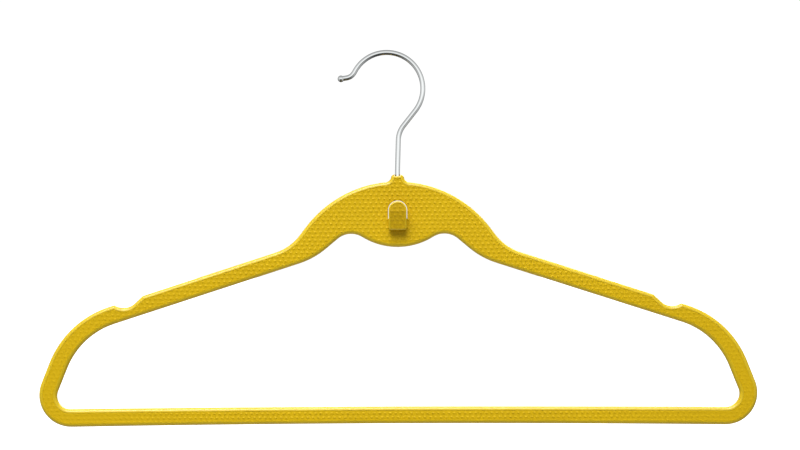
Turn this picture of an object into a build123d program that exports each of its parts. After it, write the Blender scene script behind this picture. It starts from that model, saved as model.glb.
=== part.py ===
from build123d import *
import os
from math import cos, radians, sin, sqrt, tan

# Slim clothes hanger with a wire hook that swivels in its neck.
# The frame: origin at the top of the hook's inner crown, where the rail sits. +Z is up, +X runs along the
# hanger to the right as seen from its front, and the front faces -Y. Millimetres and degrees throughout.
# The hanger's own outline is drawn about its mirror plane, x = 0, with z = 0 under the middle of the
# trouser bar, and is then hung below the rail.

# --- driving dimensions ---
THICKNESS = 6.0          # the moulding, front face to back face
EDGE_R = 2.2             # rounding of every outer edge of the moulding
BAR_TO_RAIL = 228.2      # underside of the trouser bar to the rail seat

CROWN_R = 71.7           # domed top of the crown
CROWN_START = 5.7        # degrees below level, where the dome starts at the neck
CROWN_END = 53.3
CROWN_RAMP = 4.8         # straight between the dome and the hollow
HOLLOW_R = 31.5          # where the crown runs out into the arm
ARM_RUN = 108.6
NECK_TOP_Z = 154.2
NECK_TOP_FLAT = 1.55     # half of it
NECK_CORNER_R = 2.6
NECK_SIDE_SLOPE = 77.5
NECK_ROOT_R = 3.5        # hollow where the neck runs into the crown
ARM_SLOPE = 17.87        # degrees below level
SHOULDER_R = 59.0
SIDE_SLOPE = 68.5
SIDE_RUN = 13.4
FOOT_R = 19.8
FOOT_TURN = 103.3
HEEL_R = 22.0            # end of the foot, where it meets the bar's underside
BAR_RISE = 0.8           # degrees, where the bar's underside leaves the heel

SCALLOP_Z = 109.2        # underside of the crown at its middle
SCALLOP_R = 41.8
SCALLOP_TURN = 31.8
ARCHWAY_R = 13.0         # small arches on each side of the scallop
ARCHWAY_TURN = 71.6
INNER_RAMP = 9.6
INNER_HOLLOW_R = 49.6    # underside of the crown's root into the arm
INNER_ARM_RUN = 120.6
INNER_SHOULDER_R = 47.0
INNER_SIDE_SLOPE = 68.1
INNER_SIDE_RUN = 15.2
INNER_FOOT_R = 8.3
BAR_TOP_RISE = 0.5       # degrees, where the bar's top edge leaves the foot
BAR_H = 10.5

RIM_W = 2.3              # smooth border left round the textured faces
SKIN_T = 0.3

NOTCH_WALL_SLOPE = 43.0
NOTCH_BOTTOM_R = 10.0
NOTCH_LOW_X = 169.9
NOTCH_LOW_Z = 72.1
NOTCH_LIP_R = 2.3

TONGUE_W = 11.1          # accessory hook on the crown, with a half-round tip
TONGUE_T = 2.4
TONGUE_LEAN = 11.0       # degrees forward, below the bend
TONGUE_TOP_Z = 137.6
TONGUE_BEND_Z = 131.4    # above this the front of the tongue stands upright
TONGUE_BEND_R = 6.0
TONGUE_FOOT_Z = 119.8
TONGUE_FOOT_R = 1.4      # bottom corners, seen from the front
TONGUE_EDGE_R = 0.9
TONGUE_RIM_W = 1.0
SLOT_DEPTH = 3.8         # between the tongue and the moulding's front face, at the slot's floor
SLOT_FLOOR_Z = 126.8
SLOT_FLOOR_R = 1.8
WINDOW_W = 11.8          # opening behind the tongue, right through the crown
WINDOW_TOP_Z = 138.0

WIRE_D = 3.2
HOOK_R = 22.4            # centre line of the hook's crown, on its open side and its closed side alike
CLOSED_TURN = 128.3
OFFSET_RUN = 11.7
OFFSET_BEND_R = 15.0
STEM_LEAN = 1.8          # the stem leans this much until just above the neck
STEM_RUN = 19.0
LEAN_BEND_R = 20.0
OPEN_TURN = 60.0
NOSE_RUN = 1.5
NOSE_BEND_R = 6.6
NOSE_TURN = 51.5
NOSE_END = 2.1
BALL_D = 4.2
SPIGOT_D = 2.0
SPIGOT_L = 2.2

MOUTH_W = 3.7            # slot across the neck's top, which the stem comes up through
MOUTH_DEPTH = 1.1
SLEEVE_OD = 4.6
SLEEVE_L = 8.4
SLEEVE_GROOVES = 4
GROOVE_DEPTH = 0.15
GROOVE_W = 0.6
STEM_FIT = 0.06          # radial running clearance of the stem
WASHER_T = 0.5
WASHER_OD = 3.9
END_PLAY = 0.06          # axial play of the stem's head
HEAD_D = 3.9
HEAD_H = 1.4
HEAD_CHAMFER = 0.3
CAP_WALL = 0.27
CAP_FLOOR = 0.5
CAP_PLAY = 0.15

# --- heights on the stem, from the mouth of the neck down ---
SLEEVE_TOP_Z = NECK_TOP_Z - MOUTH_DEPTH
SLEEVE_FOOT_Z = SLEEVE_TOP_Z - SLEEVE_L
WASHER_FOOT_Z = SLEEVE_FOOT_Z - WASHER_T
HEAD_TOP_Z = WASHER_FOOT_Z - END_PLAY
HEAD_FOOT_Z = HEAD_TOP_Z - HEAD_H
CAP_INSIDE_Z = HEAD_FOOT_Z - CAP_PLAY
CAP_FOOT_Z = CAP_INSIDE_Z - CAP_FLOOR

FACE_Y = THICKNESS / 2
TONGUE_BACK_Y = FACE_Y + SLOT_DEPTH
TONGUE_BEND_Y = TONGUE_BACK_Y + TONGUE_T + (TONGUE_BEND_Z - SLOT_FLOOR_Z) * tan(radians(TONGUE_LEAN))
TONGUE_FOOT_Y = TONGUE_BEND_Y - (TONGUE_BEND_Z - TONGUE_FOOT_Z) * tan(radians(TONGUE_LEAN))


def heading(angle):
    """Direction of travel in an outline, in degrees anticlockwise from +X."""
    return Vector(cos(radians(angle)), sin(radians(angle)))


def chain(start, angle, moves):
    """Edges of a smooth run from start: ("run", length) is straight, ("turn", radius, sweep) is an arc."""
    edges = []
    point = Vector(*start)
    for kind, size, *sweep in moves:
        if kind == "run":
            edge = Line(point, point + heading(angle) * size)
        else:
            edge = JernArc(point, heading(angle), size, sweep[0])
            angle += sweep[0]
        edges.append(edge)
        point = edge @ 1
    return edges, point, angle


def closed_by_mirror(edges):
    """A face from a half outline that starts and ends on x = 0."""
    half = Wire(edges)
    return make_face(Wire([*half.edges(), *half.mirror(Plane.YZ).edges()]))


def last_arc(point, angle, height):
    """The bar's long camber, from the foot to the mirror plane."""
    return TangentArc([point, (0, height)], tangent=heading(angle))


def outer_outline():
    edges, point, angle = chain((0, NECK_TOP_Z), 0, [
        ("run", NECK_TOP_FLAT),
        ("turn", NECK_CORNER_R, -NECK_SIDE_SLOPE),
        ("turn", NECK_ROOT_R, NECK_SIDE_SLOPE - CROWN_START),
        ("turn", CROWN_R, CROWN_START - CROWN_END),
        ("run", CROWN_RAMP),
        ("turn", HOLLOW_R, CROWN_END - ARM_SLOPE),
        ("run", ARM_RUN),
        ("turn", SHOULDER_R, ARM_SLOPE - SIDE_SLOPE),
        ("run", SIDE_RUN),
        ("turn", FOOT_R, -FOOT_TURN),
        ("turn", HEEL_R, SIDE_SLOPE + FOOT_TURN - 180 - BAR_RISE),
    ])
    return closed_by_mirror([*edges, last_arc(point, angle, 0)])


def inner_outline():
    edges, point, angle = chain((0, SCALLOP_Z), 0, [
        ("turn", SCALLOP_R, SCALLOP_TURN),
        ("turn", ARCHWAY_R, -ARCHWAY_TURN),
        ("run", INNER_RAMP),
        ("turn", INNER_HOLLOW_R, ARCHWAY_TURN - SCALLOP_TURN - ARM_SLOPE),
        ("run", INNER_ARM_RUN),
        ("turn", INNER_SHOULDER_R, ARM_SLOPE - INNER_SIDE_SLOPE),
        ("run", INNER_SIDE_RUN),
        ("turn", INNER_FOOT_R, INNER_SIDE_SLOPE - 180 - BAR_TOP_RISE),
    ])
    return closed_by_mirror([*edges, last_arc(point, angle, BAR_H)])


def strap_notch():
    """Cut for the right arm: a steep wall on the inside and a round floor that rises to the outside."""
    centre = Vector(NOTCH_LOW_X, NOTCH_LOW_Z + NOTCH_BOTTOM_R)
    wall_foot = centre + heading(-90 - NOTCH_WALL_SLOPE) * NOTCH_BOTTOM_R
    floor_end = centre + heading(0) * NOTCH_BOTTOM_R
    wall_top = wall_foot + heading(180 - NOTCH_WALL_SLOPE) * NOTCH_BOTTOM_R
    above = Vector(floor_end.X, wall_top.Y)
    floor = ThreePointArc(wall_foot, centre - Vector(0, NOTCH_BOTTOM_R), floor_end)
    return make_face([Line(wall_top, wall_foot), floor, Line(floor_end, above), Line(above, wall_top)])


def outer_face():
    """The hanger's outer outline with both strap notches cut and their lips rounded."""
    plain = outer_outline()
    notch = strap_notch()
    edge = plain.wire()
    shape = plain
    for cut in (notch, notch.mirror(Plane.YZ)):
        shape = shape - cut
        rim = cut.wire()
        lips = [v for v in shape.vertices() if v.distance_to(edge) < 0.001 and v.distance_to(rim) < 0.001]
        shape = fillet(lips, NOTCH_LIP_R)
    return shape


def arched(width, foot_z, top_z):
    """A straight-sided outline with a half-round top."""
    arch_r = width / 2
    straight = top_z - arch_r - foot_z
    return Pos(0, foot_z + straight / 2) * Rectangle(width, straight) + Pos(0, top_z - arch_r) * Circle(arch_r)


def window():
    """Opening behind the accessory hook."""
    return arched(WINDOW_W, SLOT_FLOOR_Z, WINDOW_TOP_Z)


def upright(face, back_y, front_y):
    """A flat outline stood up and given its depth, from back_y to front_y in front of the mid-plane."""
    return Pos(0, -back_y, 0) * extrude(Plane.XZ * face, front_y - back_y)


def rounded_slab(face):
    """The moulding's full thickness, with every long edge rounded."""
    slab = upright(face, -FACE_Y, FACE_Y)
    rims = slab.edges().filter_by(lambda e: abs(abs(e.center().Y) - FACE_Y) < 0.001)
    return fillet(rims, EDGE_R)


def tongue_outline(margin):
    """The accessory hook from the front, less a margin all round."""
    plain = arched(TONGUE_W - 2 * margin, TONGUE_FOOT_Z + margin, TONGUE_TOP_Z - margin)
    foot = plain.vertices().sort_by(Axis.Y)[:2]
    return fillet(foot, max(TONGUE_FOOT_R - margin, TONGUE_FOOT_R / 2))


def side_profile(points, corner, radius):
    """A closed outline of (forward of the mid-plane, height) points, with one corner rounded."""
    flat = make_face(Polyline(*points, close=True))
    return fillet(flat.vertices().sort_by_distance(corner)[0], radius)


def across(face, width):
    """A side profile stood up across the hanger, to a width on each side of the mirror plane."""
    turned = Plane((0, 0, 0), x_dir=(0, -1, 0), z_dir=(-1, 0, 0)) * face
    return extrude(turned, width, both=True)


def tongue_block():
    """The accessory hook before its slot is cut: it leans forward as far as the bend, then stands upright."""
    bend = (TONGUE_BEND_Y, TONGUE_BEND_Z)
    side = side_profile([
        (FACE_Y - EDGE_R, TONGUE_FOOT_Z), (TONGUE_FOOT_Y, TONGUE_FOOT_Z), bend,
        (TONGUE_BEND_Y, TONGUE_TOP_Z), (FACE_Y - EDGE_R, TONGUE_TOP_Z)], bend, TONGUE_BEND_R)
    return upright(tongue_outline(0), FACE_Y - EDGE_R, TONGUE_BEND_Y) & across(side, TONGUE_W)


def slot():
    """Space behind the tongue, open at the top and both sides, with a round floor at the tongue."""
    height = TONGUE_TOP_Z - SLOT_FLOOR_Z + TONGUE_T
    top_y = TONGUE_BACK_Y + height * tan(radians(TONGUE_LEAN))
    corner = (TONGUE_BACK_Y, SLOT_FLOOR_Z)
    side = side_profile([
        (FACE_Y, SLOT_FLOOR_Z), corner, (top_y, SLOT_FLOOR_Z + height),
        (FACE_Y, SLOT_FLOOR_Z + height)], corner, SLOT_FLOOR_R)
    return across(side, TONGUE_W)


def accessory_hook():
    """Upturned tongue in front of the crown, joined to it below the slot."""
    block = tongue_block()
    front = block.faces().sort_by(Axis.Y)[:3]
    rims = [e for e in block.edges() if sum(e in f.edges() for f in front) == 1]
    return fillet(rims, TONGUE_EDGE_R) - slot()


def cavity():
    """The way down the neck: the slot at its top, then the seat of the sleeve and its cap."""
    seat_h = SLEEVE_TOP_Z - CAP_FOOT_Z
    seat = Pos(0, 0, CAP_FOOT_Z + seat_h / 2) * Cylinder(SLEEVE_OD / 2, seat_h)
    mouth = Pos(0, 0, NECK_TOP_Z) * Box(MOUTH_W, THICKNESS, 2 * MOUTH_DEPTH)
    return seat + mouth


def skin_outline(outer, inner):
    """What is left of a face inside its smooth border."""
    field = offset(outer, -RIM_W) - offset(inner, RIM_W)
    return field - window()


def moulded_body(outer, inner, field):
    """The hanger itself, one moulding with its accessory hook."""
    frame = rounded_slab(outer - inner)
    skin_seat = upright(field, FACE_Y - SKIN_T, FACE_Y)
    frame = frame - skin_seat - skin_seat.mirror(Plane.XZ) + accessory_hook()
    return frame - upright(window(), -FACE_Y, FACE_Y) - tongue_grip() - cavity()


def front_grip_skin(field):
    """Textured face, cut away where the accessory hook stands on the crown."""
    return upright(field, FACE_Y - SKIN_T, FACE_Y) - accessory_hook()


def rear_grip_skin(field):
    return upright(field, -FACE_Y, SKIN_T - FACE_Y)


def tongue_grip():
    """Textured patch set in the front of the accessory hook."""
    block = tongue_block()
    patch = upright(tongue_outline(TONGUE_RIM_W), TONGUE_FOOT_Y - TONGUE_T, TONGUE_BEND_Y)
    return (block & patch) - Pos(0, SKIN_T, 0) * block


def closed_side():
    """Centre line of the wire from the top of the crown round the closed side and down to the neck."""
    edges, point, _ = chain((0, WIRE_D / 2), 0, [
        ("turn", HOOK_R, -CLOSED_TURN),
        ("run", OFFSET_RUN),
        ("turn", OFFSET_BEND_R, CLOSED_TURN - 90 - STEM_LEAN),
        ("run", STEM_RUN),
        ("turn", LEAN_BEND_R, STEM_LEAN),
    ])
    return edges, point


def open_side():
    """Centre line from the top of the crown to the ball's shoulder."""
    edges, point, angle = chain((0, WIRE_D / 2), 180, [
        ("turn", HOOK_R, OPEN_TURN),
        ("run", NOSE_RUN),
        ("turn", NOSE_BEND_R, -NOSE_TURN),
        ("run", NOSE_END),
    ])
    return edges, point, angle


def wire_along(edges):
    path = Plane.XZ * Wire(edges)
    return sweep(Plane(path @ 0, z_dir=path % 0) * Circle(WIRE_D / 2), path)


def hook_wire(stem_foot):
    """The wire in one piece: stem with its cold-headed foot, crown, nose and the spigot for the ball."""
    down, stem = closed_side()
    stem_end = Vector(stem.X, stem_foot)
    wire = wire_along([*down, Line(stem, stem_end)])
    up, nose, angle = open_side()
    wire = wire + wire_along(up)
    head = Pos(stem.X, 0, stem_foot + HEAD_H / 2) * Cylinder(HEAD_D / 2, HEAD_H)
    foot_rim = head.edges().filter_by(GeomType.CIRCLE).sort_by(Axis.Z)[0]
    return wire + chamfer(foot_rim, HEAD_CHAMFER) + spigot(nose, angle)


def nose_plane(nose, angle):
    """The plane across the nose's end, looking out along the wire."""
    way = heading(angle)
    return Plane(Vector(nose.X, 0, nose.Y), z_dir=Vector(way.X, 0, way.Y))


def spigot(nose, angle):
    return nose_plane(nose, angle) * Pos(0, 0, SPIGOT_L / 2) * Cylinder(SPIGOT_D / 2, SPIGOT_L)


def hook_ball_tip():
    """Ball with a flat where the wire's shoulder seats and a blind hole for the spigot."""
    _, nose, angle = open_side()
    to_flat = sqrt((BALL_D / 2) ** 2 - (WIRE_D / 2) ** 2)
    ball = Pos(0, 0, to_flat) * Sphere(BALL_D / 2) - Pos(0, 0, -BALL_D / 2) * Box(BALL_D, BALL_D, BALL_D)
    return nose_plane(nose, angle) * ball - spigot(nose, angle)


def swivel_sleeve():
    """Bearing for the stem, with grooves that key it into the moulding."""
    sleeve = Cylinder(SLEEVE_OD / 2, SLEEVE_L) - Cylinder(WIRE_D / 2 + STEM_FIT, SLEEVE_L)
    pitch = SLEEVE_L / (SLEEVE_GROOVES + 1)
    ring = Cylinder(SLEEVE_OD / 2, GROOVE_W) - Cylinder(SLEEVE_OD / 2 - GROOVE_DEPTH, GROOVE_W)
    for k in range(SLEEVE_GROOVES):
        sleeve = sleeve - Pos(0, 0, (k + 1) * pitch - SLEEVE_L / 2) * ring
    return Pos(0, 0, SLEEVE_FOOT_Z + SLEEVE_L / 2) * sleeve


def thrust_washer():
    washer = Cylinder(WASHER_OD / 2, WASHER_T) - Cylinder(WIRE_D / 2 + STEM_FIT, WASHER_T)
    return Pos(0, 0, WASHER_FOOT_Z + WASHER_T / 2) * washer


def sleeve_cap():
    """Deep-drawn cup under the sleeve, with the washer and the stem's head inside."""
    cup_h = SLEEVE_FOOT_Z - CAP_FOOT_Z
    cup = Pos(0, 0, CAP_FOOT_Z + cup_h / 2) * Cylinder(SLEEVE_OD / 2, cup_h)
    inside = Pos(0, 0, CAP_INSIDE_Z + cup_h / 2) * Cylinder(SLEEVE_OD / 2 - CAP_WALL, cup_h)
    return cup - inside


def hanger(stem_x):
    """Every piece of the hanger's body, hung so that its neck is on the stem."""
    outer = outer_face()
    inner = inner_outline()
    field = skin_outline(outer, inner)
    pieces = {
        "moulded_body": moulded_body(outer, inner, field),
        "front_grip_skin": front_grip_skin(field),
        "rear_grip_skin": rear_grip_skin(field),
        "accessory_hook_grip": tongue_grip(),
        "swivel_sleeve": swivel_sleeve(),
        "thrust_washer": thrust_washer(),
        "sleeve_cap": sleeve_cap(),
    }
    return {name: Pos(stem_x, 0, -BAR_TO_RAIL) * shape for name, shape in pieces.items()}


os.makedirs("parts", exist_ok=True)
stem_axis_x = closed_side()[1].X
parts = hanger(stem_axis_x)
parts["hook_wire"] = hook_wire(HEAD_FOOT_Z - BAR_TO_RAIL)
parts["hook_ball_tip"] = hook_ball_tip()
for name, shape in parts.items():
    export_step(shape, f"parts/{name}.step")
print(f"swivel axis at x = {stem_axis_x:.3f} mm")
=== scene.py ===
import math

import bmesh
import bpy
from mathutils import Matrix, Vector


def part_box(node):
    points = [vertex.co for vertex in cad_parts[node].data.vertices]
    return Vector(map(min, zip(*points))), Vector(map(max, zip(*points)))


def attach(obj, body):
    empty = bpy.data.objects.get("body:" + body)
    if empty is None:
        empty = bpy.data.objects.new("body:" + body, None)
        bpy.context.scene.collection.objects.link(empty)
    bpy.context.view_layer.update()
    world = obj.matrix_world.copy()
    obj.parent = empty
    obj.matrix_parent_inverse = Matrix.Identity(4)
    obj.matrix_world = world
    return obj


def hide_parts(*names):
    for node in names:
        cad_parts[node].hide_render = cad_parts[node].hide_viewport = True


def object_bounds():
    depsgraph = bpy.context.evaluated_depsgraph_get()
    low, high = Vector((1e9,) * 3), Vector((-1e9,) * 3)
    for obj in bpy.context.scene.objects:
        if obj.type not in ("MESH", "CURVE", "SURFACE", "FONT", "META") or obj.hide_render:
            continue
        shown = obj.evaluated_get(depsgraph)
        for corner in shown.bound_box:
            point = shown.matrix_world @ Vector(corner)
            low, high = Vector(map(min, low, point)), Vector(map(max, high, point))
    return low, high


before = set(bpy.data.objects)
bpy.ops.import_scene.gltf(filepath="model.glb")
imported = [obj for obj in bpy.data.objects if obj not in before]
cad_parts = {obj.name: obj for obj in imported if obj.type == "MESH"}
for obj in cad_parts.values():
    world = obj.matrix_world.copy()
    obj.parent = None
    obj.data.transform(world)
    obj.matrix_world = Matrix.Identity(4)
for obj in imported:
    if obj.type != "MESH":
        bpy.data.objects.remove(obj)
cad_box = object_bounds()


# ---------------------------------------------------------------------------------------------------
# Hook wire. Cold-drawn mild steel, 3.2 mm, bent on a former and bright chromium plated. Its lower end is
# cold-headed so that it can't pull out of the neck, and its upper end is turned down to take the ball.
# ---------------------------------------------------------------------------------------------------
MM = 0.001                # sizes are in mm, and the scene is in metres
WIRE_D = 3.2
HEAD_D = 3.9
HEAD_H = 1.4
HEAD_CHAMFER = 0.3
STEM_UP = 11.751          # from the head to the first bend
SPIGOT_D = 2.0
SPIGOT_L = 2.2
WIRE_BENDS = [
    ("run", STEM_UP),
    ("turn", 20.0, -1.8),
    ("run", 19.0),
    ("turn", 15.0, -36.5),
    ("run", 11.7),
    ("turn", 22.4, 188.3),
    ("run", 1.5),
    ("turn", 6.6, -51.5),
    ("run", 2.1),
]
WIRE_SIDES = 40
ARC_STEP = 3.0            # degrees between two cross-sections, or two points of an outline
LONGEST_STEP = 12.0       # mm between them on a very shallow arc
FEWEST_STEPS = 2
WELD = 0.0005             # points closer than this are one
CORNER = 35.0             # degrees; a sharper edge is a real corner and isn't smoothed
CHROME_HEX = "E9ECEC"
CHROME_ROUGHNESS = 0.04
HAZE = 0.05               # roughness that the polishing haze adds at its strongest
SCUFF_MM = 0.5            # spacing of the haze


def heading(angle):
    """A direction in the hanger's own plane, in degrees anticlockwise from +X as seen from the front."""
    return Vector((math.cos(math.radians(angle)), 0, math.sin(math.radians(angle))))


def verts_of(geom):
    """The vertices in an operator's mixed result."""
    return [g for g in geom if isinstance(g, bmesh.types.BMVert)]


def edges_of(geom):
    """The edges in an operator's mixed result."""
    return [g for g in geom if isinstance(g, bmesh.types.BMEdge)]


def middle_of(geom):
    """The average place of the vertices."""
    return sum((v.co for v in verts_of(geom)), Vector()) / len(verts_of(geom))


def draw_out(bm, ring):
    """Extrudes a ring on the spot and returns its new end, ready to be moved or resized."""
    geom = bmesh.ops.extrude_edge_only(bm, edges=edges_of(ring))["geom"]
    return verts_of(geom) + [e for e in edges_of(geom) if len(e.link_faces) == 1]


def follow(bm, geom, angle, moves):
    """Drags a vertex or a ring along straight runs and round bends, leaving an edge or a tube behind it."""
    for kind, size, *sweep in moves:
        if kind == "run":
            if edges_of(geom):
                geom = draw_out(bm, geom)
            else:
                geom = bmesh.ops.extrude_vert_indiv(bm, verts=geom)["verts"]
            bmesh.ops.translate(bm, verts=verts_of(geom), vec=heading(angle) * size * MM)
        else:
            turn = sweep[0]
            centre = middle_of(geom) + heading(angle + math.copysign(90, turn)) * size * MM
            arc = math.radians(abs(turn)) * size
            steps = math.ceil(max(abs(turn) / ARC_STEP, arc / LONGEST_STEP, FEWEST_STEPS))
            geom = bmesh.ops.spin(bm, geom=geom, cent=centre, axis=(0, -1, 0), angle=math.radians(turn),
                                  steps=steps, use_duplicate=False)["geom_last"]
            angle += turn
    return geom, angle


def resize(bm, ring, scale):
    """Scales a ring about its own middle."""
    bmesh.ops.scale(bm, verts=verts_of(ring), vec=(scale,) * 3, space=Matrix.Translation(-middle_of(ring)))


def widen(bm, ring, scale):
    """Steps a ring in or out on the spot, for a shoulder."""
    ring = draw_out(bm, ring)
    resize(bm, ring, scale)
    return ring


def smooth(mesh, corner):
    """Smooth shading, apart from edges sharper than the corner's angle."""
    mesh.shade_smooth()
    mesh.set_sharp_from_angle(angle=math.radians(corner))


def piece_from(bm, name, body=None):
    """A closed mesh with its normals outward. With a body it is attached to that body, as a piece of the
    hanger.
    """
    bmesh.ops.remove_doubles(bm, verts=bm.verts, dist=WELD * MM)
    bmesh.ops.recalc_face_normals(bm, faces=bm.faces)
    mesh = bpy.data.meshes.new(name)
    bm.to_mesh(mesh)
    bm.free()
    smooth(mesh, CORNER)
    piece = bpy.data.objects.new(name, mesh)
    bpy.context.scene.collection.objects.link(piece)
    if body:
        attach(piece, body)
    return piece


def bent_wire():
    """The wire from its headed foot to its spigot, with the place and direction of the spigot's end."""
    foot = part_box("hook_wire")[0].z
    stem_x = (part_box("swivel_sleeve")[0].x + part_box("swivel_sleeve")[1].x) / 2
    bm = bmesh.new()
    bmesh.ops.create_circle(bm, cap_ends=True, segments=WIRE_SIDES, radius=(HEAD_D / 2 - HEAD_CHAMFER) * MM)
    bmesh.ops.translate(bm, verts=bm.verts, vec=(stem_x, 0, foot))
    ring = bm.verts[:] + bm.edges[:]
    ring, _ = follow(bm, ring, 90, [("run", HEAD_CHAMFER)])
    resize(bm, ring, HEAD_D / (HEAD_D - 2 * HEAD_CHAMFER))
    ring, _ = follow(bm, ring, 90, [("run", HEAD_H - HEAD_CHAMFER)])
    ring = widen(bm, ring, WIRE_D / HEAD_D)
    ring, angle = follow(bm, ring, 90, WIRE_BENDS)
    ring = widen(bm, ring, SPIGOT_D / WIRE_D)
    ring, _ = follow(bm, ring, angle, [("run", SPIGOT_L)])
    bmesh.ops.edgeloop_fill(bm, edges=edges_of(ring))
    nose = middle_of(ring)
    return piece_from(bm, "polished_hook_wire", "hook"), nose, angle


def linear(hex_colour):
    """An sRGB hex colour as the linear values that a shader takes."""
    channels = [int(hex_colour[i:i + 2], 16) / 255 for i in (0, 2, 4)]
    return [c / 12.92 if c <= 0.04045 else ((c + 0.055) / 1.055) ** 2.4 for c in channels] + [1.0]


def wire_up(tree, node, inputs):
    """Sets a node's inputs; an input is a value, or the socket that feeds it."""
    for name, value in inputs.items():
        if isinstance(value, bpy.types.NodeSocket):
            tree.links.new(value, node.inputs[name])
        else:
            node.inputs[name].default_value = value
    return node


def add(tree, kind, settings=None, inputs=None):
    """A new node with its settings and inputs."""
    node = tree.nodes.new(kind)
    for name, value in (settings or {}).items():
        setattr(node, name, value)
    return wire_up(tree, node, inputs or {})


def new_material(name):
    """An empty material, its tree, its shader and the place on the piece."""
    material = bpy.data.materials.new(name)
    material.use_nodes = True
    tree = material.node_tree
    tree.nodes.clear()
    shader = add(tree, "ShaderNodeBsdfPrincipled")
    add(tree, "ShaderNodeOutputMaterial", inputs={"Surface": shader.outputs["BSDF"]})
    return material, tree, shader, add(tree, "ShaderNodeTexCoord").outputs["Object"]


def chrome_plate():
    """Bright chromium over nickel: a mirror, with a trace of haze where the polishing mop has passed."""
    material, tree, shader, place = new_material("bright_chrome_plate_on_drawn_steel")
    haze = add(tree, "ShaderNodeTexNoise", inputs={
        "Vector": place, "Scale": 1 / (SCUFF_MM * MM), "Detail": 3.0})
    roughness = add(tree, "ShaderNodeMapRange", inputs={
        "Value": haze.outputs["Fac"], "From Min": 0.35, "From Max": 0.75,
        "To Min": CHROME_ROUGHNESS, "To Max": CHROME_ROUGHNESS + HAZE})
    wire_up(tree, shader, {
        "Base Color": linear(CHROME_HEX), "Metallic": 1.0, "Roughness": roughness.outputs["Result"]})
    return material


chrome = chrome_plate()
wire, spigot_end, nose_angle = bent_wire()
wire.data.materials.append(chrome)
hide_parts("hook_wire")


# ---------------------------------------------------------------------------------------------------
# Ball tip. Turned from steel bar, plated like the wire, and pressed on the wire's spigot. It keeps the
# wire's end from snagging clothes, and a flat on it seats on the wire's shoulder.
# ---------------------------------------------------------------------------------------------------
BALL_D = 4.2
BALL_SIDES = 48
BALL_RINGS = 32


def turned_ball():
    """The ball in line with the wire's end, cut flat where its width is the wire's."""
    way = heading(nose_angle)
    shoulder = spigot_end - way * SPIGOT_L * MM
    to_flat = math.sqrt((BALL_D / 2) ** 2 - (WIRE_D / 2) ** 2) * MM
    bm = bmesh.new()
    bmesh.ops.create_uvsphere(bm, u_segments=BALL_SIDES, v_segments=BALL_RINGS, radius=BALL_D / 2 * MM)
    bmesh.ops.rotate(bm, verts=bm.verts, cent=(0, 0, 0), matrix=way.to_track_quat("Z", "Y").to_matrix())
    bmesh.ops.translate(bm, verts=bm.verts, vec=shoulder + way * to_flat)
    geom = bm.verts[:] + bm.edges[:] + bm.faces[:]
    cut = bmesh.ops.bisect_plane(bm, geom=geom, plane_co=shoulder, plane_no=-way,
                                 clear_outer=True)["geom_cut"]
    bmesh.ops.edgeloop_fill(bm, edges=edges_of(cut))
    return piece_from(bm, "polished_ball_tip", "hook")


ball = turned_ball()
ball.data.materials.append(chrome)
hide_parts("hook_ball_tip")


# ---------------------------------------------------------------------------------------------------
# Swivel bearing. A turned and nickel-plated steel sleeve, a deep-drawn cap and an acetal washer, all
# hidden in the neck. The hanger is moulded round them, and the stem turns in the sleeve.
# ---------------------------------------------------------------------------------------------------
NICKEL_HEX = "B9B4A8"
NICKEL_ROUGHNESS = 0.28
RING_MM = 0.754           # the lathe's rings are about 0.12 mm apart, drawn coarser so that they show
RING_DEPTH = 0.01
WAVE_RATE = 20            # radians that a wave texture of scale 1 turns in one unit
ACETAL_HEX = "ECEAE2"
ACETAL_ROUGHNESS = 0.45
ACETAL_IOR = 1.48
ACETAL_GRAIN_MM = 0.2
ACETAL_GRAIN_DEPTH = 0.02


def turned_nickel():
    """Nickel over turned steel: fine rings round the sleeve, warmer and duller than chrome."""
    material, tree, shader, place = new_material("nickel_plate_on_turned_steel")
    rings = add(tree, "ShaderNodeTexWave", {"bands_direction": "Z"}, {
        "Vector": place, "Scale": 2 * math.pi / (WAVE_RATE * RING_MM * MM), "Distortion": 0.4, "Detail": 1.0})
    bump = add(tree, "ShaderNodeBump", inputs={
        "Height": rings.outputs["Fac"], "Strength": 0.4, "Distance": RING_DEPTH * MM})
    wire_up(tree, shader, {
        "Base Color": linear(NICKEL_HEX), "Metallic": 1.0, "Roughness": NICKEL_ROUGHNESS,
        "Normal": bump.outputs["Normal"]})
    return material


def natural_acetal():
    """Moulded acetal, natural white: waxy and matt from an eroded mould."""
    material, tree, shader, place = new_material("moulded_natural_acetal")
    grain = add(tree, "ShaderNodeTexNoise", inputs={
        "Vector": place, "Scale": 1 / (ACETAL_GRAIN_MM * MM), "Detail": 3.0})
    bump = add(tree, "ShaderNodeBump", inputs={
        "Height": grain.outputs["Fac"], "Strength": 0.3, "Distance": ACETAL_GRAIN_DEPTH * MM})
    wire_up(tree, shader, {
        "Base Color": linear(ACETAL_HEX), "Roughness": ACETAL_ROUGHNESS, "IOR": ACETAL_IOR,
        "Normal": bump.outputs["Normal"]})
    return material


def finish_node(name, material):
    """Gives a CAD node its finish."""
    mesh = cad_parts[name].data
    mesh.materials.clear()
    mesh.materials.append(material)


nickel = turned_nickel()
finish_node("swivel_sleeve", nickel)
finish_node("sleeve_cap", nickel)
finish_node("thrust_washer", natural_acetal())


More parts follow.
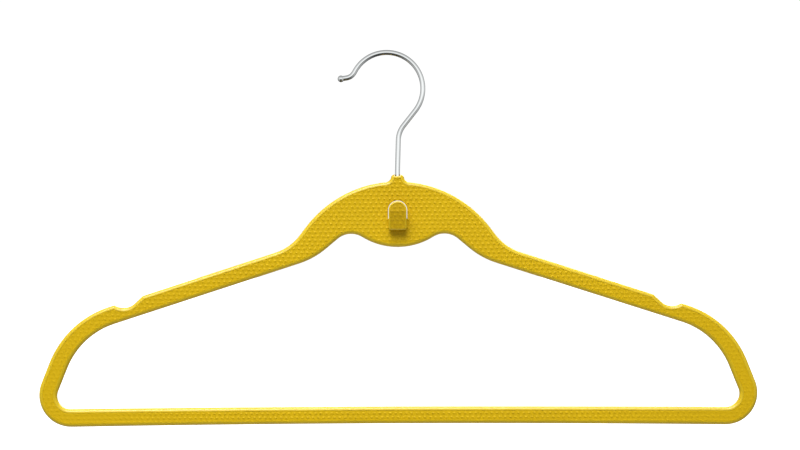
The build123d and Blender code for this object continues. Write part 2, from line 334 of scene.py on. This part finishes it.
# ---------------------------------------------------------------------------------------------------
# Hanger body. One injection moulding in yellow ABS, with the accessory hook in one piece with it. Every
# long edge is rounded, and both faces are sunk a little inside the rim, where the textured skins lie.
# ---------------------------------------------------------------------------------------------------
THICKNESS = 6.0
EDGE_R = 2.2
EDGE_STEPS = 8
NECK_TOP_Z = 154.2        # above the trouser bar's underside, as all the heights here are
NECK_TOP_FLAT = 1.55      # half of it
SCALLOP_Z = 109.2         # underside of the crown at its middle
NOTCH_LIP_R = 2.3
RIGHT_EDGE = [            # from the neck's top, over the crown, down the arm and round to the bar's middle
    ("run", NECK_TOP_FLAT), ("turn", 2.6, -77.5), ("turn", 3.5, 71.8),
    ("turn", 71.7, -47.6), ("run", 4.8), ("turn", 31.5, 35.43), ("run", 85.712),
    ("turn", NOTCH_LIP_R, -25.13), ("run", 6.368), ("turn", 10.0, 71.857), ("turn", NOTCH_LIP_R, -46.727),
    ("run", 2.943), ("turn", 59.0, -50.63), ("run", 13.4), ("turn", 19.8, -103.3), ("turn", 22.0, -9.0),
    ("turn", 15010.6, 0.771),
]
RIGHT_INSIDE = [          # from the scallop's middle, along under the arm and round to the bar's middle
    ("turn", 41.8, 31.8), ("turn", 13.0, -71.6), ("run", 9.6), ("turn", 49.6, 21.93), ("run", 120.6),
    ("turn", 47.0, -50.23), ("run", 15.2), ("turn", 8.3, -112.4), ("turn", 28148.3, 0.413),
]
WINDOW_W = 11.8           # the opening behind the accessory hook
WINDOW_TOP_Z = 138.0
WINDOW_EDGE_R = 0.25
WINDOW_EDGE_STEPS = 2
WINDOW_SLACK = 0.1
SLOT_FLOOR_Z = 126.8      # bottom of the window, and of the slot behind the tongue
SLOT_DEPTH = 3.8
SLOT_FLOOR_R = 1.8
SLOT_FLOOR_STEPS = 8
LAND_W = 0.1              # flat left between the rounded rim and the skin
SKIN_T = 0.3
MOUTH_W = 3.7             # the slit across the neck's top that the stem comes out of
MOUTH_DEPTH = 1.1
SEAT_D = 4.6              # the bearing's seat down the neck
SEAT_DEPTH = 11.01

TONGUE_W = 11.1           # the accessory hook's tongue
TONGUE_TOP_Z = 137.6
TONGUE_FOOT_Z = 119.8
TONGUE_FOOT_R = 1.4
TONGUE_LEAN = 11.0        # degrees forward, below the bend
TONGUE_BEND_Z = 131.4     # above this its front stands upright
TONGUE_BEND_R = 6.0
TONGUE_EDGE_R = 0.9
TONGUE_EDGE_STEPS = 5
TONGUE_T = 2.4
BEND_FACETS = 4
PATCH_MARGIN = 1.0        # plain rim left round the tongue's patch
PATCH_SEAT_BACK = 3.0     # behind the tongue's upright front, and behind the patch at its foot

OVERSHOOT = 1.0           # how far a cutter, or a block that is still to be cut, goes past the finished face
CUTTER_MARGIN = 0.1       # how much wider a cutter is than what it trims
MIRROR_WELD = 0.001       # how near the mirror plane a point is on it
FLAT_NORMAL = 0.999       # a face that looks straight to the front or back

ABS_DEEP_HEX = "CFAE00"
ABS_PALE_HEX = "D9BA00"
ABS_ROUGHNESS = 0.34
ABS_IOR = 1.53
ABS_SPECULAR = 0.5
RIPPLE_MM = 1.6           # spacing of the ripple
RIPPLE_DEPTH = 0.03
CLOUD_MM = 35.0           # slight drift of the colour along the flow of the plastic

hang_x = (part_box("moulded_body")[0].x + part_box("moulded_body")[1].x) / 2
hang_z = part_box("swivel_sleeve")[1].z - (NECK_TOP_Z - MOUTH_DEPTH) * MM
lean = math.tan(math.radians(TONGUE_LEAN))
tongue_back_y = -(THICKNESS / 2 + SLOT_DEPTH)
tongue_front_y = tongue_back_y - TONGUE_T - (TONGUE_BEND_Z - SLOT_FLOOR_Z) * lean


def half_edge(bm, start_z, angle, moves):
    """One side's edge line from the mirror plane back to the mirror plane; returns its two ends."""
    first = bm.verts.new((0, 0, start_z * MM))
    geom, _ = follow(bm, [first], angle, moves)
    last = verts_of(geom)[0]
    last.co.x = 0
    return first, last


def fill_and_mirror(bm):
    """Fills the right half's outline and adds the left half to it."""
    bmesh.ops.contextual_create(bm, geom=bm.edges[:])
    geom = bm.verts[:] + bm.edges[:] + bm.faces[:]
    bmesh.ops.mirror(bm, geom=geom, axis="X", merge_dist=MIRROR_WELD * MM)


def flat_hanger():
    """The hanger's face as two flat halves that meet on the mirror plane, with the window cut out."""
    bm = bmesh.new()
    neck, bar_foot = half_edge(bm, NECK_TOP_Z, 0, RIGHT_EDGE)
    scallop, bar_top = half_edge(bm, SCALLOP_Z, 0, RIGHT_INSIDE)
    arch, sill = half_edge(bm, WINDOW_TOP_Z, 0, [
        ("turn", WINDOW_W / 2, -90), ("run", WINDOW_TOP_Z - WINDOW_W / 2 - SLOT_FLOOR_Z)])
    sill.co.x = WINDOW_W / 2 * MM
    sill_middle = bm.verts.new((0, 0, sill.co.z))
    for pair in ((neck, arch), (sill, sill_middle), (sill_middle, scallop), (bar_top, bar_foot)):
        bm.edges.new(pair)
    fill_and_mirror(bm)
    return bm


def in_window(edge):
    """Whether an edge is part of the window's outline."""
    half_width = (WINDOW_W / 2 + WINDOW_SLACK) * MM
    low = (SLOT_FLOOR_Z - WINDOW_SLACK) * MM
    high = (WINDOW_TOP_Z + WINDOW_SLACK) * MM
    return all(abs(v.co.x) < half_width and low < v.co.z < high for v in edge.verts)


def thicken(bm, front_y, back_y):
    """Makes a flat outline solid, from front_y back to back_y."""
    bmesh.ops.translate(bm, verts=bm.verts, vec=(0, back_y * MM, 0))
    raised = bmesh.ops.extrude_face_region(bm, geom=bm.faces[:], use_keep_orig=True)["geom"]
    bmesh.ops.translate(bm, verts=verts_of(raised), vec=(0, (front_y - back_y) * MM, 0))
    bmesh.ops.recalc_face_normals(bm, faces=bm.faces)


def long_edges(bm):
    """The edges between a flat face and a side wall."""
    return [e for e in bm.edges if len(e.link_faces) == 2
            and sorted(abs(f.normal.y) > 0.9 for f in e.link_faces) == [False, True]]


def round_over(bm, edges, radius, segments):
    """Rounds edges to a radius."""
    bmesh.ops.bevel(bm, geom=edges, offset=radius * MM, offset_type="OFFSET", segments=segments, profile=0.5,
                    affect="EDGES", clamp_overlap=False, material=-1)


def rounded_body():
    """The moulding without its accessory hook, its faces sunk for the skins; returns those faces too."""
    bm = flat_hanger()
    thicken(bm, -THICKNESS / 2, THICKNESS / 2)
    round_over(bm, [e for e in long_edges(bm) if not in_window(e)], EDGE_R, EDGE_STEPS)
    round_over(bm, [e for e in long_edges(bm) if in_window(e)], WINDOW_EDGE_R, WINDOW_EDGE_STEPS)
    flats = [f for f in bm.faces if abs(f.normal.y) > FLAT_NORMAL
             and abs(f.calc_center_median().y) > (THICKNESS / 2 - 0.01) * MM]
    bmesh.ops.inset_region(bm, faces=flats, thickness=LAND_W * MM, depth=-SKIN_T * MM, use_boundary=True,
                           use_even_offset=True)
    return bm, flats


def seat_sheet(flats):
    """A flat copy of the front's sunk face, which the skins are cut to."""
    sheet = bmesh.new()
    twins = {}
    for face in [f for f in flats if f.normal.y < 0]:
        for v in face.verts:
            if v not in twins:
                twins[v] = sheet.verts.new((v.co.x, 0, v.co.z))
        sheet.faces.new([twins[v] for v in face.verts])
    return sheet


def combine(piece, tool, operation):
    """Cuts one closed mesh with another, or joins it on, and throws the tool away."""
    step = piece.modifiers.new("cut", "BOOLEAN")
    step.operation = operation
    step.solver = "MANIFOLD"
    step.object = tool
    bpy.context.view_layer.update()
    made = bpy.data.meshes.new_from_object(piece.evaluated_get(bpy.context.evaluated_depsgraph_get()))
    piece.modifiers.clear()
    piece.data = made
    bpy.data.objects.remove(tool)


def neck_tools():
    """The slit across the neck's top and the round seat under it."""
    mouth = bmesh.new()
    bmesh.ops.create_cube(mouth, size=1.0, matrix=Matrix.Diagonal(
        (MOUTH_W * MM, 2 * THICKNESS * MM, 2 * MOUTH_DEPTH * MM, 1)))
    bmesh.ops.translate(mouth, verts=mouth.verts, vec=(0, 0, NECK_TOP_Z * MM))
    seat = bmesh.new()
    bmesh.ops.create_cone(seat, cap_ends=True, segments=WIRE_SIDES, radius1=SEAT_D / 2 * MM,
                          radius2=SEAT_D / 2 * MM, depth=SEAT_DEPTH * MM)
    seat_middle = NECK_TOP_Z - MOUTH_DEPTH - SEAT_DEPTH / 2
    bmesh.ops.translate(seat, verts=seat.verts, vec=(0, 0, seat_middle * MM))
    return piece_from(mouth, "mouth_tool"), piece_from(seat, "seat_tool")


def half_arch(bm, width, foot_z, top_z, foot_r):
    """A half-round top on straight sides, with a flat, round-cornered foot, as one flat outline."""
    first, last = half_edge(bm, top_z, 0, [
        ("turn", width / 2, -90), ("run", top_z - width / 2 - foot_z - foot_r),
        ("turn", foot_r, -90), ("run", width / 2 - foot_r)])
    bm.edges.new((last, first))
    fill_and_mirror(bm)
    seam = [e for e in bm.edges if all(abs(v.co.x) < MIRROR_WELD * MM for v in e.verts)]
    bmesh.ops.dissolve_edges(bm, edges=seam, use_verts=False)


def shave_front(bm, step_back):
    """Planes the front of a block to the tongue's lean, its bend and its upright tip."""
    bend_start = TONGUE_BEND_R * math.tan(math.radians(TONGUE_LEAN / 2))
    for facet in range(BEND_FACETS + 1):
        tilt = math.radians(TONGUE_LEAN * facet / BEND_FACETS)
        centre = Vector((0, tongue_front_y + TONGUE_BEND_R, TONGUE_BEND_Z + bend_start)) * MM
        normal = Vector((0, -math.cos(tilt), -math.sin(tilt)))
        touch = centre + normal * TONGUE_BEND_R * MM + Vector((0, step_back * MM, 0))
        geom = bm.verts[:] + bm.edges[:] + bm.faces[:]
        cut = bmesh.ops.bisect_plane(bm, geom=geom, dist=0.0001 * MM, plane_co=touch, plane_no=normal,
                                     clear_outer=True)["geom_cut"]
        if edges_of(cut):
            bmesh.ops.contextual_create(bm, geom=edges_of(cut))
    bmesh.ops.recalc_face_normals(bm, faces=bm.faces)


def slot_tool():
    """The space behind the tongue, with a round floor on the tongue's side."""
    height = TONGUE_TOP_Z - SLOT_FLOOR_Z + TONGUE_T
    bm = bmesh.new()
    corners = [(-THICKNESS / 2, 0), (tongue_back_y, 0), (tongue_back_y - height * lean, height),
               (-THICKNESS / 2, height)]
    ring = [bm.verts.new((-TONGUE_W * MM, y * MM, (SLOT_FLOOR_Z + z) * MM)) for y, z in corners]
    bm.faces.new(ring)
    bmesh.ops.bevel(bm, geom=[ring[1]], offset=SLOT_FLOOR_R * MM, segments=SLOT_FLOOR_STEPS, profile=0.5,
                    affect="VERTICES", clamp_overlap=False, material=-1)
    side = bmesh.ops.extrude_face_region(bm, geom=bm.faces[:], use_keep_orig=True)["geom"]
    bmesh.ops.translate(bm, verts=verts_of(side), vec=(2 * TONGUE_W * MM, 0, 0))
    return piece_from(bm, "slot_tool")


def tongue():
    """The accessory hook: a tongue that stands on the front face and leans forward over its slot."""
    bm = bmesh.new()
    half_arch(bm, TONGUE_W, TONGUE_FOOT_Z, TONGUE_TOP_Z, TONGUE_FOOT_R)
    thicken(bm, tongue_front_y - OVERSHOOT, -THICKNESS / 2 + EDGE_R)
    shave_front(bm, 0)
    fronts = [f for f in bm.faces if f.normal.y < -0.9]
    rim = [e for e in bm.edges if sum(f in fronts for f in e.link_faces) == 1]
    round_over(bm, rim, TONGUE_EDGE_R, TONGUE_EDGE_STEPS)
    block = piece_from(bm, "tongue_block")
    combine(block, slot_tool(), "DIFFERENCE")
    return block


def patch_prism(grow, back_y):
    """The outline of the tongue's textured patch, run from front to back."""
    margin = PATCH_MARGIN - grow
    bm = bmesh.new()
    half_arch(bm, TONGUE_W - 2 * margin, TONGUE_FOOT_Z + margin, TONGUE_TOP_Z - margin,
              TONGUE_FOOT_R - margin)
    thicken(bm, tongue_front_y - OVERSHOOT, back_y)
    return bm


def patch_seat():
    """What is cut from the tongue's front to take the patch."""
    seat_back_y = tongue_front_y + PATCH_SEAT_BACK
    seat = piece_from(patch_prism(0, seat_back_y), "patch_seat")
    kept = patch_prism(CUTTER_MARGIN, seat_back_y + OVERSHOOT)
    shave_front(kept, SKIN_T)
    combine(seat, piece_from(kept, "kept_tongue"), "DIFFERENCE")
    return seat


def hang(piece):
    """Moves a piece from the hanger's own outline to its place under the hook."""
    piece.data.transform(Matrix.Translation((hang_x, 0, hang_z)))


def dress(piece, finish, corner):
    """Shades a cut piece and gives it its one finish."""
    smooth(piece.data, corner)
    piece.data.materials.clear()
    piece.data.materials.append(finish)


def drifting_colour(tree, place, deep_hex, pale_hex):
    """A colour that drifts slowly between two close shades, as the pigment does along the flow."""
    cloud = add(tree, "ShaderNodeTexNoise", inputs={
        "Vector": place, "Scale": 1 / (CLOUD_MM * MM), "Detail": 3.0})
    shade = add(tree, "ShaderNodeMix", {"data_type": "RGBA"},
                {"Factor": cloud.outputs["Fac"], "A": linear(deep_hex), "B": linear(pale_hex)})
    return shade.outputs["Result"]


def moulded_abs():
    """Yellow ABS, coloured right through, with the soft shine and faint ripple of a polished tool."""
    material, tree, shader, place = new_material("injection_moulded_yellow_abs")
    ripple = add(tree, "ShaderNodeTexNoise", inputs={
        "Vector": place, "Scale": 1 / (RIPPLE_MM * MM), "Detail": 2.0})
    bump = add(tree, "ShaderNodeBump", inputs={
        "Height": ripple.outputs["Fac"], "Strength": 0.3, "Distance": RIPPLE_DEPTH * MM})
    wire_up(tree, shader, {
        "Base Color": drifting_colour(tree, place, ABS_DEEP_HEX, ABS_PALE_HEX), "Roughness": ABS_ROUGHNESS,
        "IOR": ABS_IOR, "Specular IOR Level": ABS_SPECULAR, "Normal": bump.outputs["Normal"]})
    return material


bm, sunk_faces = rounded_body()
seat_outline = seat_sheet(sunk_faces)
body = piece_from(bm, "moulded_yellow_body", "hanger")
combine(body, tongue(), "UNION")
combine(body, patch_seat(), "DIFFERENCE")
for tool in neck_tools():
    combine(body, tool, "DIFFERENCE")
dress(body, moulded_abs(), CORNER)
hang(body)
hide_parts("moulded_body")


# ---------------------------------------------------------------------------------------------------
# Textured skins. A thin non-slip layer on both faces and on the tongue, moulded against a tool engraved
# like a coarse linen: rows of small pillows, each row half a pillow along from the last.
# ---------------------------------------------------------------------------------------------------
PILLOW_W = 3.3
ROW_H = 2.55
PILLOW_RISE = 0.36
PILLOW_LONG = 0.36        # half-length of a pillow, as a share of the pitch
PILLOW_TALL = 0.36        # half-height of a pillow, as a share of the row
PILLOW_SLANT = 0.2        # lean of a pillow along the row, foot to top, as a share of the pitch
SKIN_BASE = 0.12          # depth of the seams between the pillows below the moulding's face
STEPS_ALONG = 9           # mesh steps in a pillow's width, and up a row
STEPS_UP = 7
FADE_START = 110.0        # the texture is worn softer towards the hanger's ends
FADE_END = 200.0
FADED = 0.45              # what is left of the rise there
LINEN_LOW = (-222.5, -2.0)    # the uncut linen's lower left and upper right corners, outside the hanger
LINEN_HIGH = (222.5, 155.0)
PATCH_SINK = 0.2          # depth of the patch's seams below the tongue's front
PATCH_RISE = 0.3

SKIN_DEEP_HEX = "CBA600"
SKIN_PALE_HEX = "D5B000"
# Painted shade: the tongue's patch is the skins' yellow made darker, for the shade on its front, which leans
# forward away from the light above.
PATCH_SHADED_DEEP_HEX = "BE9900"
PATCH_SHADED_PALE_HEX = "C8A300"
SKIN_ROUGHNESS = 0.5
SKIN_IOR = 1.5
SKIN_SPECULAR = 0.22
GRAIN_MM = 0.7            # the real grain is about 0.1 mm, drawn coarse enough to show
GRAIN_DEPTH = 0.05
SKIN_CORNER = 60.0        # degrees; lower than this the pillows' own slopes would be taken for corners


def pillow(x, z):
    """Height of the linen above its seams, as a share of a full pillow, at a place on the hanger in mm."""
    row = math.floor(z / ROW_H)
    up = z / ROW_H - row - 0.5
    along = (x / PILLOW_W + 0.5 * (row % 2) + PILLOW_SLANT * up) % 1.0 - 0.5
    off_centre = min(math.hypot(along / PILLOW_LONG, up / PILLOW_TALL), 1)
    worn = min(max((abs(x) - FADE_START) / (FADE_END - FADE_START), 0), 1)
    return 0.5 * (1 + math.cos(math.pi * off_centre)) * (1 - (1 - FADED) * worn)


def linen_block(low, high, seam_y, back_y, rise):
    """A block whose front is the linen; seam_y gives the depth of the seams at a height."""
    columns = math.ceil((high[0] - low[0]) / PILLOW_W * STEPS_ALONG)
    rows = math.ceil((high[1] - low[1]) / ROW_H * STEPS_UP)
    bm = bmesh.new()
    bmesh.ops.create_grid(bm, x_segments=columns, y_segments=rows, size=0.5)
    for v in bm.verts:
        x = low[0] + (v.co.x + 0.5) * columns * PILLOW_W / STEPS_ALONG
        z = low[1] + (v.co.y + 0.5) * rows * ROW_H / STEPS_UP
        v.co = Vector((x, seam_y(z) - rise * pillow(x, z), z)) * MM
    border = [e for e in bm.edges if len(e.link_faces) == 1]
    sides = bmesh.ops.extrude_edge_only(bm, edges=border)["geom"]
    for v in verts_of(sides):
        v.co.y = back_y * MM
    bmesh.ops.contextual_create(bm, geom=[e for e in edges_of(sides) if len(e.link_faces) == 1])
    return piece_from(bm, "linen_block")


def face_seam_y(z):
    """Depth of the seams on the front face, the same at every height."""
    return -THICKNESS / 2 + SKIN_BASE


def tongue_seam_y(z):
    """Depth of the seams on the tongue's front, which leans below its bend."""
    return tongue_front_y + max(TONGUE_BEND_Z - z, 0) * lean + PATCH_SINK


def face_skin(name, outline):
    """The linen cut to the seat in the moulding."""
    seat_y = -THICKNESS / 2 + SKIN_T
    skin = linen_block(LINEN_LOW, LINEN_HIGH, face_seam_y, seat_y, PILLOW_RISE)
    prism = outline.copy()
    thicken(prism, -THICKNESS / 2 - OVERSHOOT, seat_y + OVERSHOOT)
    combine(skin, piece_from(prism, "seat_prism"), "INTERSECT")
    skin.name = name
    return skin


def turned_over(skin, name):
    """The same skin on the back, as the front one's mirror image."""
    twin = skin.copy()
    twin.data = skin.data.copy()
    twin.name = name
    bpy.context.scene.collection.objects.link(twin)
    twin.data.transform(Matrix.Diagonal((1, -1, 1, 1)))
    twin.data.flip_normals()
    return twin


def tongue_patch(name):
    """The linen cut to the seat in the tongue's front."""
    back_y = tongue_front_y + PATCH_SEAT_BACK + 2 * OVERSHOOT
    patch = linen_block((-TONGUE_W / 2, TONGUE_FOOT_Z), (TONGUE_W / 2, TONGUE_TOP_Z), tongue_seam_y, back_y,
                        PATCH_RISE)
    combine(patch, patch_seat(), "INTERSECT")
    patch.name = name
    return patch


def grip_skin(name, deep_hex, pale_hex):
    """Matt non-slip skin: a fine eroded grain on every pillow, which breaks up the shine."""
    material, tree, shader, place = new_material(name)
    grain = add(tree, "ShaderNodeTexNoise", inputs={
        "Vector": place, "Scale": 1 / (GRAIN_MM * MM), "Detail": 3.0})
    roughness = add(tree, "ShaderNodeMapRange", inputs={
        "Value": grain.outputs["Fac"], "From Min": 0.3, "From Max": 0.7,
        "To Min": SKIN_ROUGHNESS - 0.05, "To Max": SKIN_ROUGHNESS + 0.1})
    bump = add(tree, "ShaderNodeBump", inputs={
        "Height": grain.outputs["Fac"], "Strength": 0.5, "Distance": GRAIN_DEPTH * MM})
    wire_up(tree, shader, {
        "Base Color": drifting_colour(tree, place, deep_hex, pale_hex),
        "Roughness": roughness.outputs["Result"], "IOR": SKIN_IOR, "Specular IOR Level": SKIN_SPECULAR,
        "Normal": bump.outputs["Normal"]})
    return material


def lay_skin(skin, node, finish):
    """Lays a finished skin on the hanger in place of its CAD node."""
    dress(skin, finish, SKIN_CORNER)
    hang(skin)
    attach(skin, "hanger")
    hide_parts(node)


skin_finish = grip_skin("linen_textured_soft_abs_skin", SKIN_DEEP_HEX, SKIN_PALE_HEX)
# The patch's finish is the skin's with painted shade in its darker colours.
shaded_patch_finish = grip_skin("linen_textured_soft_abs_patch_painted_shade", PATCH_SHADED_DEEP_HEX, PATCH_SHADED_PALE_HEX)
front = face_skin("front_linen_skin", seat_outline)
rear = turned_over(front, "rear_linen_skin")
combine(front, tongue(), "DIFFERENCE")
patch = tongue_patch("tongue_linen_patch")
lay_skin(front, "front_grip_skin", skin_finish)
lay_skin(rear, "rear_grip_skin", skin_finish)
lay_skin(patch, "accessory_hook_grip", shaded_patch_finish)


# ---------------------------------------------------------------------------------------------------
# Floor, light and camera. A pale floor just under the hanger, a broad soft box above and to the left, a
# second one behind for the back, a bright room for the chrome, and a long lens square to the front.
# ---------------------------------------------------------------------------------------------------
VIEW_DISTANCE = 1.6
FRAME_WIDTH = 0.4958      # what the view takes in, side to side
VIEW_CENTRE = Vector((0.00794, 0, -0.10537))
ROLL = math.radians(-0.22)
SENSOR = 36.0
VIEW_REACH = 20.0
FLOOR_DROP = 0.03         # below the hanger's lowest point
FLOOR_REACH = 6.0         # from the middle to each side
KEY_SPREAD = 60.0         # degrees
EYE_WHITE = 1.05          # the room as the camera sees it

# The room's brightness against a direction's part along one axis, from -1 to 1: what the chrome mirrors from
# front to back and from below to above, how far towards the sides the height stops counting, and what
# lights the matt surfaces from below to above.
MIRRORED_DEPTH = [(-1.0, 1.2), (-0.7, 0.88), (0.15, 0.5), (0.6, 0.42), (1.0, 0.6)]
MIRRORED_HEIGHT = [(-1.0, 0.12), (-0.85, 0.02), (-0.55, 0.10), (-0.22, 0.22), (0.0, 1.0), (0.2, 1.0),
                   (0.66, 0.8), (1.0, 0.72)]
MIRRORED_SIDES = [(-0.8, 0.7), (-0.3, 0.0), (0.3, 0.0), (0.8, 0.7)]
LIT_HEIGHT = [(-1.0, 2.8), (-0.85, 1.2), (-0.5, 0.15), (0.0, 0.2), (0.3, 0.3), (1.0, 0.9)]


def floor():
    """A pale painted floor with a glow of its own, so that it is as white as the room from any side."""
    material, tree, shader, place = new_material("painted_studio_floor")
    mottle = add(tree, "ShaderNodeTexNoise", inputs={"Vector": place, "Scale": 3.0, "Detail": 3.0})
    shade = add(tree, "ShaderNodeMix", {"data_type": "RGBA"},
                {"Factor": mottle.outputs["Fac"], "A": linear("F6F6F6"), "B": linear("FAFAFA")})
    wire_up(tree, shader, {"Base Color": shade.outputs["Result"], "Roughness": 0.8,
                           "Emission Color": (1, 1, 1, 1), "Emission Strength": 1.0})
    bm = bmesh.new()
    bmesh.ops.create_grid(bm, x_segments=2, y_segments=2, size=FLOOR_REACH)
    bmesh.ops.translate(bm, verts=bm.verts, vec=(0, 0, cad_box[0].z - FLOOR_DROP))
    piece = piece_from(bm, "studio_floor")
    piece.data.materials.append(material)
    piece.visible_glossy = False
    piece.visible_diffuse = False


def soft_light(name, place, target, size, power, lit):
    """A square soft box that faces its target and lights only the collection it is given."""
    lamp = bpy.data.lights.new(name, "AREA")
    lamp.shape = "SQUARE"
    lamp.size = size
    lamp.energy = power
    light = bpy.data.objects.new(name, lamp)
    light.location = place
    light.rotation_euler = (Vector(target) - Vector(place)).to_track_quat("-Z", "Y").to_euler()
    light.light_linking.receiver_collection = lit
    bpy.context.scene.collection.objects.link(light)
    return lamp


def ramp(tree, value, stops):
    """Grey levels against a value from -1 to 1."""
    share = add(tree, "ShaderNodeMapRange", inputs={"Value": value, "From Min": -1.0, "From Max": 1.0})
    node = add(tree, "ShaderNodeValToRGB", inputs={"Fac": share.outputs["Result"]})
    elements = node.color_ramp.elements
    while len(elements) < len(stops):
        elements.new(0.5)
    for element, (place, level) in zip(elements, stops):
        element.position = (place + 1) / 2
        element.color = (level, level, level, 1)
    return node.outputs["Color"]


def studio_room():
    """White to the eye. The chrome mirrors it bright in front, greyer behind and dark below."""
    world = bpy.data.worlds.new("studio")
    world.use_nodes = True
    tree = world.node_tree
    tree.nodes.clear()
    way = add(tree, "ShaderNodeTexCoord").outputs["Generated"]
    split = add(tree, "ShaderNodeSeparateXYZ", inputs={"Vector": way})
    depth = ramp(tree, split.outputs["Y"], MIRRORED_DEPTH)
    height = ramp(tree, split.outputs["Z"], MIRRORED_HEIGHT)
    both = add(tree, "ShaderNodeMix", {"data_type": "RGBA", "blend_type": "MULTIPLY"},
               {"Factor": 1.0, "A": depth, "B": height})
    aside = ramp(tree, split.outputs["X"], MIRRORED_SIDES)
    mirrored = add(tree, "ShaderNodeMix", {"data_type": "RGBA"},
                   {"Factor": aside, "A": both.outputs["Result"], "B": depth})
    around = ramp(tree, split.outputs["Z"], LIT_HEIGHT)
    rays = add(tree, "ShaderNodeLightPath")
    lit = add(tree, "ShaderNodeBackground", inputs={"Color": around, "Strength": 1.0})
    shine = add(tree, "ShaderNodeBackground", inputs={"Color": mirrored.outputs["Result"], "Strength": 1.0})
    seen = add(tree, "ShaderNodeBackground", inputs={"Color": (1, 1, 1, 1), "Strength": EYE_WHITE})
    room = add(tree, "ShaderNodeMixShader", inputs={"Fac": rays.outputs["Is Glossy Ray"]})
    tree.links.new(lit.outputs[0], room.inputs[1])
    tree.links.new(shine.outputs[0], room.inputs[2])
    view = add(tree, "ShaderNodeMixShader", inputs={"Fac": rays.outputs["Is Camera Ray"]})
    tree.links.new(room.outputs[0], view.inputs[1])
    tree.links.new(seen.outputs[0], view.inputs[2])
    add(tree, "ShaderNodeOutputWorld", inputs={"Surface": view.outputs[0]})
    bpy.context.scene.world = world


def camera():
    """Square to the front face, a touch rolled, with the lens worked out from the width it takes in."""
    lens = bpy.data.cameras.new("front_view")
    lens.sensor_width = SENSOR
    lens.lens = SENSOR * VIEW_DISTANCE / FRAME_WIDTH
    lens.clip_end = VIEW_REACH
    view = bpy.data.objects.new("front_view", lens)
    place = VIEW_CENTRE - Vector((0, VIEW_DISTANCE, 0))
    view.matrix_world = (Matrix.Translation(place) @ Matrix.Rotation(math.pi / 2, 4, "X")
                         @ Matrix.Rotation(ROLL, 4, "Z"))
    bpy.context.scene.collection.objects.link(view)
    bpy.context.scene.camera = view


floor()
plastics = bpy.data.collections.new("lit_by_soft_boxes")
for piece in (body, front, rear, patch):
    plastics.objects.link(piece)
key = soft_light("key", (-0.3, -0.9, 1.3), (-0.06, 0, -0.16), size=1.5, power=9.5, lit=plastics)
key.spread = math.radians(KEY_SPREAD)
soft_light("back_fill", (0.4, 1.3, 0.9), (0, 0, -0.12), size=1.2, power=22, lit=plastics)
studio_room()
camera()
bpy.context.scene.view_settings.view_transform = "Standard"
